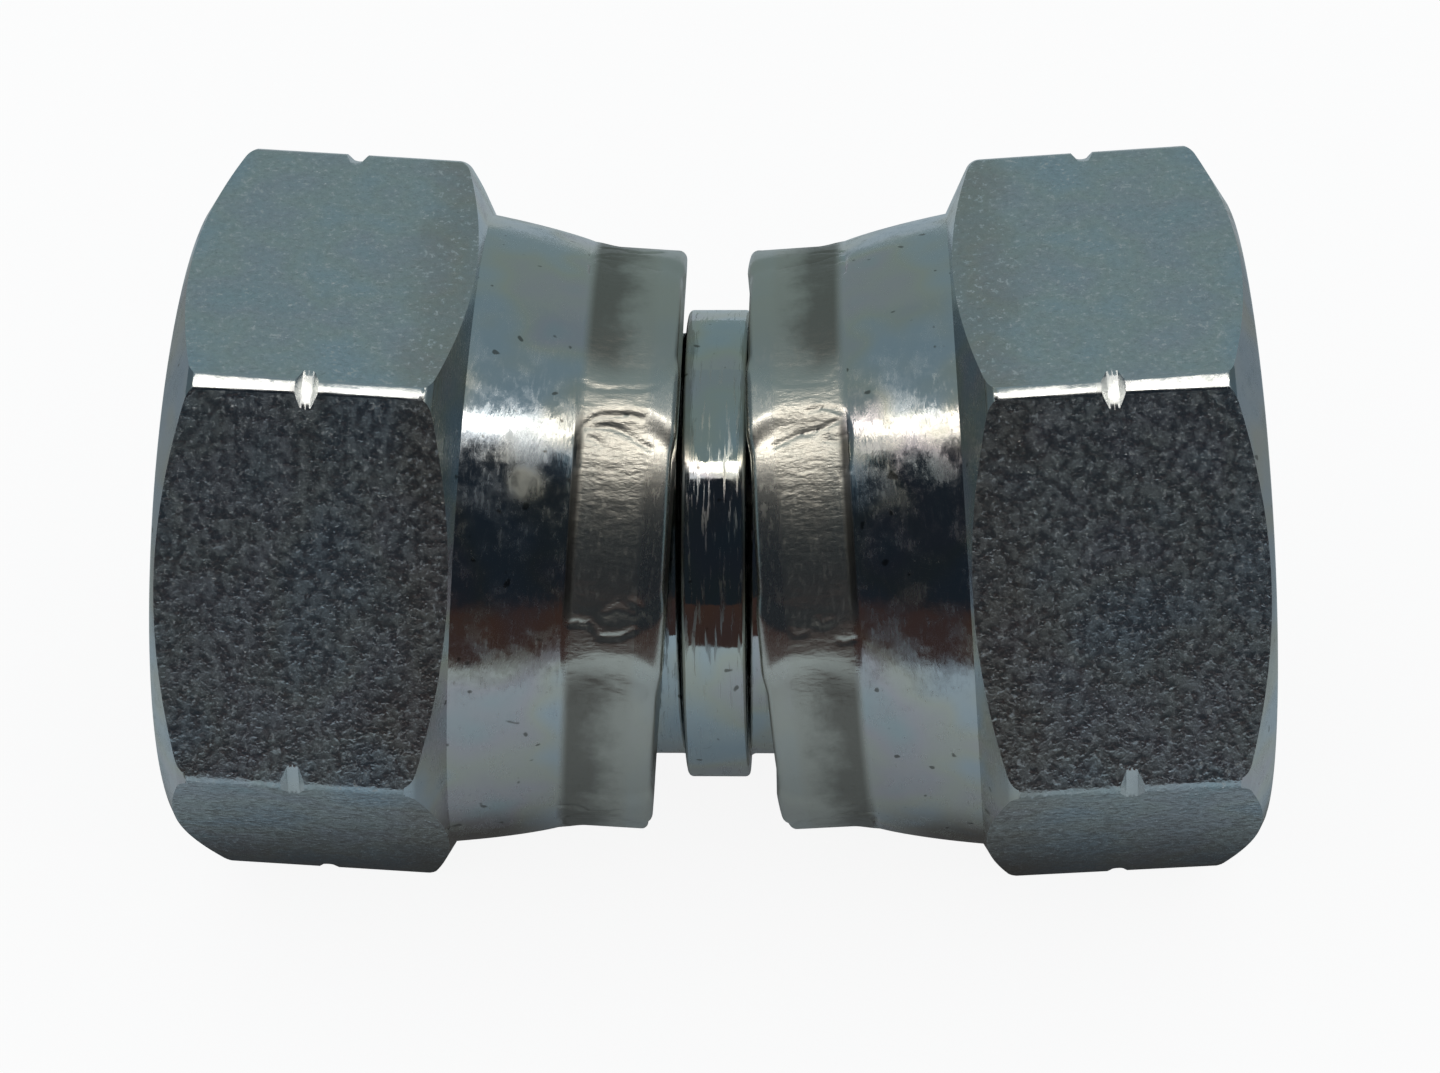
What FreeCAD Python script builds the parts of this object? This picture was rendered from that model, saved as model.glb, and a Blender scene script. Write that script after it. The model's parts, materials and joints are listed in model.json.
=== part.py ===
"""Straight hydraulic adapter with a swivel nut on each end, in millimetres.

The body is one turned bar with a bore through it. From the middle outwards it has a raised band, a slimmer
neck, a collar and a sealing cone. A hexagon nut sits over each end. Its skirt is pressed in behind the collar
by eight dies, so the nut turns on the body and can't come off. The play between them lets each nut lean until
its lip meets the band, and that is how the adapter lies on a table.

X runs along the body to the right, Z points up, and the floor is at Z = 0, midway between the ends.
Each nut is drawn along its own X axis: 0 is the lip beside the band and nut_length is the outer face.
"""

import FreeCAD, Part
import os
import Sketcher
from FreeCAD import Placement, Rotation, Vector

os.makedirs("parts", exist_ok=True)
doc = FreeCAD.newDocument("hydraulic_adapter")

# Driving dimensions, in millimetres and degrees
DIMENSIONS = {
    # Hexagon of each nut
    "across_flats": 27.0,
    "corner_fillet": 0.8,
    "nut_length": 19.6,
    "hex_length": 11.45,
    "face_radius": 13.1,
    "face_chamfer_angle": 30.0,
    "back_chamfer_angle": 28.0,
    "mark_from_face": 5.7,
    "mark_depth": 0.4,
    # Skirt of each nut and the marks of the crimping dies
    "skirt_root_radius": 13.32,
    "crimp_step_radius": 12.5,
    "crimp_length": 3.5,
    "lip_radius": 12.25,
    "lip_chamfer": 0.45,
    "die_count": 8,
    "ridge_angle": 6.0,
    "ridge_height": 0.2,
    # Inside of each nut
    "thread_minor_radius": 9.3155,
    "thread_length": 7.0,
    "mouth_radius": 10.7,
    "mouth_depth": 1.1,
    "cavity_wall_radius": 11.3,
    "lip_bore_length": 3.0,
    "lip_play": 0.55,
    # Body
    "band_width": 2.6,
    "band_radius": 9.93,
    "neck_radius": 8.95,
    "collar_thickness": 1.8,
    "collar_play": 0.15,
    "cone_base_radius": 8.75,
    "cone_tip_radius": 6.9,
    "cone_half_angle": 30.0,
    "flow_radius": 6.0,
    # How the pieces lie together
    "nut_lean": 4.7,
    "contact_gap": 0.1,
}

sheet = doc.addObject("Spreadsheet::Sheet", "dims")
for row, (alias, value) in enumerate(DIMENSIONS.items(), start=1):
    sheet.set(f"A{row}", alias)
    sheet.set(f"B{row}", str(value))
    sheet.setAlias(f"B{row}", alias)
doc.recompute()

# Lengths that follow from the driving dimensions, along the nut's own axis
HEX_START = "(dims.nut_length - dims.hex_length)"
ACROSS_CORNERS = "(dims.across_flats / cos(30))"
LIP_BORE_RADIUS = "(dims.neck_radius + dims.lip_play)"
PIVOT = "(dims.lip_bore_length / 2)"
CAVITY_START = f"(dims.lip_bore_length + dims.cavity_wall_radius - {LIP_BORE_RADIUS})"
THREAD_END = "(dims.nut_length - dims.mouth_depth)"
THREAD_START = f"({THREAD_END} - dims.thread_length)"
CAVITY_END = f"({THREAD_START} - (dims.cavity_wall_radius - dims.thread_minor_radius))"

# The body hangs in the leaning nuts with its necks on their lip bores, so the nuts' pivots are this much higher
NUT_RISE = (
    f"(dims.lip_play - {PIVOT} * tan(dims.nut_lean) - dims.neck_radius * (1 / cos(dims.nut_lean) - 1)"
    " - dims.contact_gap)"
)

# Places on the body's axis, from its middle
PIVOT_X = (
    f"(dims.band_width / 2 + dims.contact_gap + {PIVOT} * cos(dims.nut_lean)"
    f" + (dims.band_radius - {NUT_RISE}) * sin(dims.nut_lean))"
)
COLLAR_X = (
    f"({PIVOT_X} + ({CAVITY_START} - {PIVOT} + dims.contact_gap) / cos(dims.nut_lean)"
    " + (dims.cavity_wall_radius - dims.collar_play) * tan(dims.nut_lean))"
)
COLLAR_RADIUS = (
    f"(dims.cavity_wall_radius - dims.collar_play - {NUT_RISE}"
    f" - ({COLLAR_X} + dims.collar_thickness - {PIVOT_X}) * sin(dims.nut_lean))"
)
CONE_X = f"({COLLAR_X} + dims.collar_thickness)"
CONE_LENGTH = "((dims.cone_base_radius - dims.cone_tip_radius) / tan(dims.cone_half_angle))"

# Heights above the floor: each nut rests on the inner end of its lowest flat
FLAT_START = f"({HEX_START} + (dims.across_flats / 2 - dims.skirt_root_radius) * tan(dims.back_chamfer_angle))"
PIVOT_HEIGHT = (
    f"(dims.across_flats / 2 * cos(dims.nut_lean) - ({FLAT_START} - {PIVOT}) * sin(dims.nut_lean))"
)
AXIS_HEIGHT = f"({PIVOT_HEIGHT} - {NUT_RISE})"

# How far the cutting outlines reach past the solid
SPARE = "0.5"


def origin_plane(body, role):
    """The body's own origin plane with this role."""
    return next(item for item in body.Origin.OriginFeatures if item.Role == role)


def profile(body, name, corners):
    """A closed outline on the body's XZ plane. Each corner is two formulas: along the axis and out from it."""
    sketch = body.newObject("Sketcher::SketchObject", name)
    sketch.AttachmentSupport = [(origin_plane(body, "XZ_Plane"), "")]
    sketch.MapMode = "FlatFace"
    outline(sketch, corners)
    return sketch


def outline(sketch, corners):
    """Joins the corners in turn by straight lines and holds each corner by its two formulas."""
    values = [[plain_number(sheet.evalExpression(formula)) for formula in pair] for pair in corners]
    points = [Vector(along, out, 0) for along, out in values]
    count = len(points)
    for index in range(count):
        sketch.addGeometry(Part.LineSegment(points[index], points[(index + 1) % count]), False)
    for index in range(count):
        sketch.addConstraint(Sketcher.Constraint("Coincident", index, 2, (index + 1) % count, 1))
    for index in range(count):
        for kind, value, formula in zip(("DistanceX", "DistanceY"), values[index], corners[index]):
            constraint = sketch.addConstraint(Sketcher.Constraint(kind, -1, 1, index, 1, value))
            label = f"{kind}{index}"
            sketch.renameConstraint(constraint, label)
            sketch.setExpression(f"Constraints.{label}", formula)


def plain_number(value):
    """The value of a formula, with or without a unit."""
    return float(getattr(value, "Value", value))


def turn(body, kind, name, sketch, angle=360.0):
    """Revolves the outline about the X axis, to add or to cut. A part turn is centred on the sketch."""
    feature = body.newObject(f"PartDesign::{kind}", name)
    feature.Profile = sketch
    feature.ReferenceAxis = (sketch, ["H_Axis"])
    if angle == 360.0:
        feature.Angle = 360.0
    else:
        feature.setExpression("Angle", angle)
        feature.Midplane = True
    sketch.Visibility = False
    doc.recompute()
    return feature


def make_body():
    """The turned bar: half of it is revolved, then mirrored about its middle."""
    body = doc.addObject("PartDesign::Body", "body")
    half_band = "(dims.band_width / 2)"
    section = profile(
        body,
        "body_section",
        [
            ("0", "dims.flow_radius"),
            (f"{CONE_X} + {CONE_LENGTH}", "dims.flow_radius"),
            (f"{CONE_X} + {CONE_LENGTH}", "dims.cone_tip_radius"),
            (CONE_X, "dims.cone_base_radius"),
            (CONE_X, COLLAR_RADIUS),
            (COLLAR_X, COLLAR_RADIUS),
            (COLLAR_X, "dims.neck_radius"),
            (half_band, "dims.neck_radius"),
            (half_band, "dims.band_radius"),
            ("0", "dims.band_radius"),
        ],
    )
    half = turn(body, "Revolution", "right_half", section)
    mirrored = body.newObject("PartDesign::Mirrored", "left_half")
    mirrored.Originals = [half]
    mirrored.MirrorPlane = (origin_plane(body, "YZ_Plane"), [""])
    body.Tip = mirrored
    body.setExpression("Placement", f"placement(vector(0; 0; {AXIS_HEIGHT}); rotation(vector(0; 0; 1); 0))")
    return body


def make_nut(label, turned):
    """One swivel nut, leaning on the body. turned is 0 for the right end and 180 for the left end."""
    body = doc.addObject("PartDesign::Body", label)
    hexagon(body, label)
    skirt(body, label)
    hexagon_ends(body, label)
    crimp_ridges(body, label)
    nut_inside(body, label)
    pivot_side = "1" if turned == 0 else "-1"
    lean = "rotation(vector(0; 1; 0); -dims.nut_lean)"
    side = f"rotation(vector(0; 0; 1); {turned})"
    back_to_pivot = f"placement(vector(-{PIVOT}; 0; 0); rotation(vector(0; 0; 1); 0))"
    body.setExpression(
        "Placement",
        f"placement(vector({pivot_side} * {PIVOT_X}; 0; {PIVOT_HEIGHT}); {side} * {lean}) * {back_to_pivot}",
    )
    return body


def hexagon(body, label):
    """The wrench hexagon, with two corners level with the axis and its long corners rounded."""
    sketch = body.newObject("Sketcher::SketchObject", f"{label}_hexagon")
    sketch.AttachmentSupport = [(origin_plane(body, "YZ_Plane"), "")]
    sketch.MapMode = "FlatFace"
    sketch.setExpression("AttachmentOffset.Base.z", HEX_START)
    half_flats = "dims.across_flats / 2"
    corners = [
        (f"{ACROSS_CORNERS} / 2", "0"),
        (f"{ACROSS_CORNERS} / 4", half_flats),
        (f"-{ACROSS_CORNERS} / 4", half_flats),
        (f"-{ACROSS_CORNERS} / 2", "0"),
        (f"-{ACROSS_CORNERS} / 4", f"-{half_flats}"),
        (f"{ACROSS_CORNERS} / 4", f"-{half_flats}"),
    ]
    outline(sketch, corners)
    pad = body.newObject("PartDesign::Pad", f"{label}_hexagon_pad")
    pad.Profile = sketch
    pad.setExpression("Length", "dims.hex_length")
    sketch.Visibility = False
    doc.recompute()
    corner_fillet = body.newObject("PartDesign::Fillet", f"{label}_corner_fillet")
    long_edges = [number for number, edge in enumerate(pad.Shape.Edges, start=1) if runs_along_x(edge)]
    corner_fillet.Base = (pad, [f"Edge{number}" for number in long_edges])
    corner_fillet.setExpression("Radius", "dims.corner_fillet")
    doc.recompute()


def runs_along_x(edge):
    """True for a straight edge that lies along the axis."""
    start, end = edge.Vertexes[0].Point, edge.Vertexes[-1].Point
    return abs(start.y - end.y) < 1e-6 and abs(start.z - end.z) < 1e-6


def skirt(body, label):
    """The round skirt: it narrows from the hexagon, then steps in to the crimped lip with its broken edge."""
    hex_middle = f"{HEX_START} + dims.hex_length / 2"
    step_rise = "(dims.crimp_step_radius - dims.lip_radius)"
    section = profile(
        body,
        f"{label}_skirt_section",
        [
            ("0", "0"),
            ("0", "dims.lip_radius - dims.lip_chamfer"),
            ("dims.lip_chamfer", "dims.lip_radius"),
            ("dims.crimp_length", "dims.lip_radius"),
            (f"dims.crimp_length + {step_rise}", "dims.crimp_step_radius"),
            (HEX_START, "dims.skirt_root_radius"),
            (hex_middle, "dims.skirt_root_radius"),
            (hex_middle, "0"),
        ],
    )
    turn(body, "Revolution", f"{label}_skirt", section)


def hexagon_ends(body, label):
    """Cone cuts at both ends of the hexagon, and the ring groove that marks its six corners."""
    cut_radius = f"({ACROSS_CORNERS} / 2 + {SPARE})"
    face_slope = "tan(dims.face_chamfer_angle)"
    face_cut = profile(
        body,
        f"{label}_face_chamfer_section",
        [
            (f"dims.nut_length + {SPARE} * {face_slope}", f"dims.face_radius - {SPARE}"),
            (f"dims.nut_length + {SPARE} * {face_slope}", cut_radius),
            (f"dims.nut_length - ({cut_radius} - dims.face_radius) * {face_slope}", cut_radius),
        ],
    )
    turn(body, "Groove", f"{label}_face_chamfer", face_cut)
    back_rise = f"({cut_radius} - dims.skirt_root_radius)"
    back_cut = profile(
        body,
        f"{label}_back_chamfer_section",
        [
            (HEX_START, "dims.skirt_root_radius"),
            (f"{HEX_START} + {back_rise} * tan(dims.back_chamfer_angle)", cut_radius),
            (f"{HEX_START} - {SPARE}", cut_radius),
            (f"{HEX_START} - {SPARE}", "dims.skirt_root_radius"),
        ],
    )
    turn(body, "Groove", f"{label}_back_chamfer", back_cut)
    mark_place = "(dims.nut_length - dims.mark_from_face)"
    mark_reach = f"({SPARE} + dims.mark_depth)"
    mark_cut = profile(
        body,
        f"{label}_mark_section",
        [
            (mark_place, f"{cut_radius} - {mark_reach}"),
            (f"{mark_place} + {mark_reach}", cut_radius),
            (f"{mark_place} - {mark_reach}", cut_radius),
        ],
    )
    turn(body, "Groove", f"{label}_corner_marks", mark_cut)


def crimp_ridges(body, label):
    """The narrow ridges left standing between the flattened lands of the crimping dies."""
    ridge_top = "(dims.lip_radius + dims.ridge_height)"
    ridge_foot = "(dims.lip_radius - dims.ridge_height)"
    ridge_end = "dims.crimp_length + dims.ridge_height"
    section = profile(
        body,
        f"{label}_ridge_section",
        [
            ("dims.lip_chamfer", ridge_foot),
            ("dims.lip_chamfer", ridge_top),
            (ridge_end, ridge_top),
            (ridge_end, ridge_foot),
        ],
    )
    section.AttachmentOffset = Placement(Vector(), Rotation(Vector(1, 0, 0), 0))
    section.setExpression("AttachmentOffset.Rotation.Angle", "180 / dims.die_count")
    ridge = turn(body, "Revolution", f"{label}_ridge", section, "dims.ridge_angle")
    pattern = body.newObject("PartDesign::PolarPattern", f"{label}_ridges")
    pattern.Originals = [ridge]
    pattern.Axis = (section, ["H_Axis"])
    pattern.Angle = 360
    pattern.setExpression("Occurrences", "dims.die_count")
    body.Tip = pattern
    doc.recompute()


def nut_inside(body, label):
    """One cut for the whole inside: lip bore, cavity round the collar, thread wall and mouth chamfer."""
    section = profile(
        body,
        f"{label}_inside_section",
        [
            ("0", "0"),
            ("0", LIP_BORE_RADIUS),
            ("dims.lip_bore_length", LIP_BORE_RADIUS),
            (CAVITY_START, "dims.cavity_wall_radius"),
            (CAVITY_END, "dims.cavity_wall_radius"),
            (THREAD_START, "dims.thread_minor_radius"),
            (THREAD_END, "dims.thread_minor_radius"),
            ("dims.nut_length", "dims.mouth_radius"),
            ("dims.nut_length", "0"),
        ],
    )
    turn(body, "Groove", f"{label}_inside", section)


def check_and_export(pieces):
    """Stops if any object failed, then writes each piece to its own file."""
    doc.recompute()
    for item in doc.Objects:
        if "Invalid" in item.State or "Error" in item.State:
            raise RuntimeError(f"{item.Name} failed: {item.State}")
    for piece in pieces:
        shape = piece.Shape
        if shape.isNull() or not shape.isValid() or len(shape.Solids) != 1:
            raise RuntimeError(f"{piece.Label} isn't one valid solid")
    for piece in pieces:
        piece.Shape.exportStep(f"parts/{piece.Label}.step")
        print(piece.Label, "volume", round(piece.Shape.Volume, 3), "box", piece.Shape.BoundBox)


check_and_export([make_body(), make_nut("right_nut", 0), make_nut("left_nut", 180)])
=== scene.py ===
# %% [markdown]
# # A zinc-plated hydraulic adapter with two swivel nuts
#
# This lesson dresses a small steel fitting. A turned body joins two hexagon nuts, and each nut has been pressed
# over the body's collar by eight dies, so it turns but stays on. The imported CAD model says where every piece
# sits. Here each piece gets the rounded edges, the threads, the press marks and the plated finish that a plain
# CAD solid leaves out.

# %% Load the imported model
import json
import math

import bpy
from mathutils import Matrix, Vector

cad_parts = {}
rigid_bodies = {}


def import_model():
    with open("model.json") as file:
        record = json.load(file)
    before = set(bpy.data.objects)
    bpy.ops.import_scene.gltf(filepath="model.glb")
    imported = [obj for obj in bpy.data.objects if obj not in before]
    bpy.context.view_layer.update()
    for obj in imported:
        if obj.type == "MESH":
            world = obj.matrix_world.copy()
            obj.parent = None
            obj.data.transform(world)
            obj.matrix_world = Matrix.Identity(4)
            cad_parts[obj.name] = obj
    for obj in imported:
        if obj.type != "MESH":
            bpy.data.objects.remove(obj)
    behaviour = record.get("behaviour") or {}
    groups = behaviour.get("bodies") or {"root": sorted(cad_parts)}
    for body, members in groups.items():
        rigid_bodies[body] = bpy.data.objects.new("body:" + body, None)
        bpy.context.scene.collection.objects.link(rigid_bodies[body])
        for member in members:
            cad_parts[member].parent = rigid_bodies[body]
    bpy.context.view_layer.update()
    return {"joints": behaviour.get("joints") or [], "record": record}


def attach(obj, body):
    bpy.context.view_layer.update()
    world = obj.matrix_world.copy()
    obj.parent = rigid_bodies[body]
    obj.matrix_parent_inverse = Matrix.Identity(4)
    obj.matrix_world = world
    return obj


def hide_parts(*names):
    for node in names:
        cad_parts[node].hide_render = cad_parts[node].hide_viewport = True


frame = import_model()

MM = 0.001

# %% [markdown]
# ## Camera
#
# The picture was taken from close by, about 42 degrees above the bench. A close camera makes the near side of
# the hexagons look larger, so the distance matters as much as the angle. The camera is tilted up from looking
# straight down, swung a little to the right, and rolled a little, and then moved back along its own line of sight.

# %% Camera
CAMERA_DISTANCE = 115.5
CAMERA_ELEVATION = math.radians(41.56)
CAMERA_SWING = math.radians(2.38)
CAMERA_ROLL = math.radians(-1.5)
CAMERA_SIDE = -0.033
CAMERA_LIFT = 0.282
LENS = 67.55

mounts = {mount["name"]: mount for mount in frame["record"]["mounts"]}
body_height = mounts["flow_bore"]["pos_m"][2] / MM
camera_turn = (
    Matrix.Rotation(CAMERA_SWING, 3, "Z")
    @ Matrix.Rotation(math.pi / 2 - CAMERA_ELEVATION, 3, "X")
    @ Matrix.Rotation(CAMERA_ROLL, 3, "Z")
)
camera_place = Vector((CAMERA_SIDE, 0.0, body_height)) + camera_turn @ Vector((0.0, CAMERA_LIFT, CAMERA_DISTANCE))

bpy.ops.object.camera_add()
camera = bpy.context.object
camera.name = "product_camera"
camera.matrix_world = Matrix.Translation(camera_place * MM) @ camera_turn.to_4x4()
camera.data.sensor_width = 36.0
camera.data.lens = LENS
camera.data.clip_start = 0.005
camera.data.clip_end = 20.0
bpy.context.scene.camera = camera
bpy.context.scene.view_settings.view_transform = "Standard"
print("the camera stands at", [round(value, 1) for value in camera_place], "mm")

# %% [markdown]
# ## Colours and nodes
#
# Colours are written as hex values, the way a paint chart or a picture editor gives them. Blender's shaders work
# with linear light, so one function converts them. A second small function adds a node to a material: it sets
# the node's options and inputs, and links an input when it is given another node or one of its outputs. Inputs go
# by name, or by number where names repeat: a colour Mix has its share at 0 and its two colours at 6 and 7. Nodes
# of one kind that differ in their values alone are written as a table, with a name for each.


# %% Colour and node helpers
def linear(code):
    """A hex colour turned to linear light, with full alpha."""
    parts = [int(code[place:place + 2], 16) / 255 for place in (1, 3, 5)]
    return tuple(part / 12.92 if part <= 0.04045 else ((part + 0.055) / 1.055) ** 2.4 for part in parts) + (1.0,)


def add(tree, kind, inputs=None, **options):
    """Adds a node. Options are its own settings. An input is a value, an output to link, or a node to link,
    which stands for its first output in use.
    """
    node = tree.nodes.new(kind)
    for name, value in options.items():
        setattr(node, name, value)
    for name, value in (inputs or {}).items():
        if isinstance(value, bpy.types.Node):
            value = next(output for output in value.outputs if output.enabled)
        if isinstance(value, bpy.types.NodeSocket):
            tree.links.new(value, node.inputs[name])
        else:
            node.inputs[name].default_value = value
    return node


def add_each(tree, kind, columns, table, **options):
    """Adds a node of this kind for every row of a table and returns them by name. Columns name the inputs."""
    return {name: add(tree, kind, dict(zip(columns, row)), **options) for name, row in table.items()}


def empty_material(name):
    """A new material with no nodes, and its tree."""
    material = bpy.data.materials.new(name)
    material.use_nodes = True
    material.node_tree.nodes.clear()
    return material, material.node_tree


# %% [markdown]
# ## Bench and studio
#
# Bare metal has hardly any colour of its own: it shows what stands around it. So the studio is built for the
# metal. A pale bench lies below. A dark curtain stands where the camera is, with a blue screen on each side of it
# and a warm strip of wood under it, and grey walls and a ceiling close the room. They are seen only in
# reflections. One curved lamp hangs high behind the fitting and draws the bright lines on the corners and the
# round skirts.
#
# The bench has two looks. The metal sees it as a blue grey that gets darker to the sides, with a near-black
# painted shade right under the nuts, where their own shade would fall. The camera sees white paper, and a share of it
# stays lit paper, so the fitting keeps its soft shadow. A share that changes from place to place is a Map Range node,
# and such nodes fill a table: what they measure, where the share starts and stops changing, and its value at both.


# %% White surroundings
def pale_surroundings(tree, lit, seen, reflected):
    """Mixes a white glow, with one share for rays that see it and one for reflections, into a lit shader."""
    rays = add(tree, "ShaderNodeLightPath").outputs
    direct, through, glossy = (
        add(tree, "ShaderNodeMath", {0: rays[f"Is {ray} Ray"], 1: share}, operation="MULTIPLY")
        for ray, share in (("Camera", seen), ("Transmission", seen), ("Glossy", reflected))
    )
    either = add(tree, "ShaderNodeMath", {0: direct, 1: through}, operation="MAXIMUM")
    any_ray = add(tree, "ShaderNodeMath", {0: either, 1: glossy}, operation="MAXIMUM")
    white = add(tree, "ShaderNodeEmission", {"Color": linear("#FFFFFF"), "Strength": 1.0})
    return add(tree, "ShaderNodeMixShader", {0: any_ray, 1: lit, 2: white})


world = bpy.data.worlds.new("studio_world")
world.use_nodes = True
world.node_tree.nodes.clear()
soft = add(world.node_tree, "ShaderNodeBackground", {"Color": linear("#F4F7FA"), "Strength": 0.85})
add(world.node_tree, "ShaderNodeOutputWorld", {"Surface": pale_surroundings(world.node_tree, soft, 1, 1)})
bpy.context.scene.world = world
print("world nodes:", len(world.node_tree.nodes))

# %% Bench
FIBRES_PER_MM = 0.9
PAPER_RELIEF = 0.05
SHARE = ("Value", "From Min", "From Max", "To Min", "To Max")

bench_paper, tree = empty_material("matt_white_bench_paper")
place = add(tree, "ShaderNodeTexCoord").outputs["Object"]
fibres = add(tree, "ShaderNodeTexNoise", {"Vector": place, "Scale": FIBRES_PER_MM / MM, "Detail": 3.0})
relief = add(tree, "ShaderNodeBump", {"Strength": 0.15, "Distance": PAPER_RELIEF * MM, "Height": fibres})
parts = add(tree, "ShaderNodeSeparateXYZ", {0: place}).outputs
depth = add(tree, "ShaderNodeMath", {0: parts["Y"]}, operation="ABSOLUTE")
width = add(tree, "ShaderNodeMath", {0: parts["X"]}, operation="ABSOLUTE")
shares = add_each(tree, "ShaderNodeMapRange", SHARE, {
    "near_row": (depth, 8.7 * MM, 15.6 * MM, 1.0, 0.0),
    "past_band": (width, 4.0 * MM, 10.0 * MM, 0.0, 1.0),
    "under_nut": (width, 23.0 * MM, 30.0 * MM, 1.0, 0.0),
    "beside": (width, 35.0 * MM, 60.0 * MM, 0.0, 1.0),
}, interpolation_type="SMOOTHSTEP")
# Painted shade: the near-black share under the nuts, away from the band, is the nuts' shade painted into the bench
# colour for the metal's reflections.
shade = add(tree, "ShaderNodeMath", {0: shares["near_row"], 1: shares["past_band"]}, operation="MULTIPLY")
shade = add(tree, "ShaderNodeMath", {0: shade, 1: shares["under_nut"]}, operation="MULTIPLY")
seen = add(tree, "ShaderNodeLightPath").outputs["Is Camera Ray"]
colour = linear("#B5C3C8")
for share, code in ((shares["beside"], "#8B9599"), (shade, "#0A0D10"), (seen, "#FAFBFB")):
    colour = add(tree, "ShaderNodeMix", {0: share, 6: colour, 7: linear(code)}, data_type="RGBA")
paper = add(tree, "ShaderNodeBsdfDiffuse", {"Color": colour, "Roughness": 0.6, "Normal": relief})
add(tree, "ShaderNodeOutputMaterial", {"Surface": pale_surroundings(tree, paper, 0.9, 0.05)})

bpy.ops.mesh.primitive_plane_add(size=6.0)
bench = bpy.context.object
bench.name = "bench"
bench.data.materials.append(bench_paper)
print("the bench wears", bench_paper.name)


# %% Cards that the metal reflects
def only_in_reflections(card):
    """The card is seen by the metal alone. It lights nothing, hides nothing and casts no shadow."""
    for way in ("camera", "diffuse", "transmission", "volume_scatter", "shadow"):
        setattr(card, f"visible_{way}", False)


def glow(name, code, strength):
    """A plain card of this colour and brightness."""
    material, tree = empty_material(name)
    light = add(tree, "ShaderNodeEmission", {"Color": linear(code), "Strength": strength})
    add(tree, "ShaderNodeOutputMaterial", {"Surface": light})
    return material


def card(name, centre, width, height, turn, material):
    """A flat card: its middle and two sizes in millimetres, and its turn in degrees."""
    bpy.ops.object.select_all(action="DESELECT")
    bpy.ops.mesh.primitive_plane_add(
        size=1.0,
        location=[value * MM for value in centre],
        rotation=[math.radians(angle) for angle in turn],
    )
    plane = bpy.context.object
    plane.name = name
    plane.scale = (width * MM, height * MM, 1.0)
    bpy.ops.object.transform_apply()
    plane.data.materials.append(material)
    only_in_reflections(plane)
    print(name, "is", width, "by", height, "mm")


# %% Set up the cards
CURTAIN_PLACE = -105.0
WOOD_TOP = 38.0
CURTAIN_TOP = 345.0
CURTAIN_SIDE = 170.0
CEILING = 450.0
ROOM_SIDE = 420.0
UPRIGHT = (90, 0, 0)

middle, tall = (WOOD_TOP + CURTAIN_TOP) / 2, CURTAIN_TOP - WOOD_TOP
wide = 2 * ROOM_SIDE
curtain = glow("navy_curtain", "#1E252C", 1.0)
card("dark_curtain", (0, CURTAIN_PLACE, middle), 2 * CURTAIN_SIDE, tall, UPRIGHT, curtain)
for name, side in (("left", -1), ("right", 1)):
    screen = glow(f"{name}_blue_screen", "#5F747D", 1.0)
    screen_middle = (side * (CURTAIN_SIDE + ROOM_SIDE) / 2, CURTAIN_PLACE, middle)
    card(f"{name}_screen", screen_middle, ROOM_SIDE - CURTAIN_SIDE, tall, UPRIGHT, screen)
wood = glow("red_brown_wood", "#3F302D", 1.0)
card("wood_strip", (0, CURTAIN_PLACE, WOOD_TOP / 2), wide, WOOD_TOP, UPRIGHT, wood)
card("ceiling", (0, 160, CEILING), wide, 530, (0, 0, 0), glow("grey_ceiling", "#7E9096", 1.0))
card("back_wall", (0, ROOM_SIDE, CEILING / 2), wide, CEILING, UPRIGHT, glow("grey_wall", "#859698", 1.0))
for name, side in (("left", -1), ("right", 1)):
    wall = glow(f"{name}_grey_wall", "#5A686E", 1.0)
    card(f"{name}_wall", (side * ROOM_SIDE, 150, CEILING / 2), CEILING, 560, (0, 90, 0), wall)

# %% The curved lamp
LAMP_HEIGHT = 430.0
LAMP_RADIUS = 740.0
LAMP_MIDDLE = 650.0
LAMP_WIDTH = 34.0
LAMP_HALF_SPREAD = math.radians(23)


def start_from_point(name, place):
    """A new piece with one vertex at this place in millimetres, open in edit mode."""
    bpy.ops.object.select_all(action="DESELECT")
    bpy.ops.mesh.primitive_plane_add(size=MM)
    piece = bpy.context.object
    piece.name = name
    bpy.ops.object.mode_set(mode="EDIT")
    bpy.ops.mesh.select_mode(type="VERT")
    bpy.ops.mesh.merge(type="CENTER")
    bpy.ops.transform.translate(value=[value * MM for value in place])
    return piece


lamp = start_from_point("curved_lamp", (0.0, -(LAMP_RADIUS + LAMP_WIDTH / 2), 0.0))
bpy.ops.mesh.extrude_region_move(TRANSFORM_OT_translate={"value": (0.0, LAMP_WIDTH * MM, 0.0)})
bpy.ops.mesh.select_all(action="SELECT")
bpy.ops.transform.rotate(value=-LAMP_HALF_SPREAD, orient_axis="Z", center_override=(0.0, 0.0, 0.0))
bpy.ops.mesh.spin(steps=48, angle=2 * LAMP_HALF_SPREAD, center=(0.0, 0.0, 0.0), axis=(0.0, 0.0, 1.0))
bpy.ops.object.mode_set(mode="OBJECT")
lamp.location = (0.0, LAMP_MIDDLE * MM, LAMP_HEIGHT * MM)
bpy.ops.object.transform_apply()
lamp.data.materials.append(glow("lamp_glow", "#FFF8EE", 6.3))
only_in_reflections(lamp)
print("the lamp reaches from", [round(value / MM) for value in lamp.bound_box[0]], "to",
      [round(value / MM) for value in lamp.bound_box[6]], "mm")

# %% [markdown]
# ## The sizes of a nut
#
# Both nuts are the same forged and turned part, so one is modelled along the X axis and copied. Zero is the lip
# beside the body's band and the far end is the open face. The sizes are those of the CAD model. What is new here
# is how the edges are broken: four of the hexagon's long corners are clearly blunt, a little wider at the open end.

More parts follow.
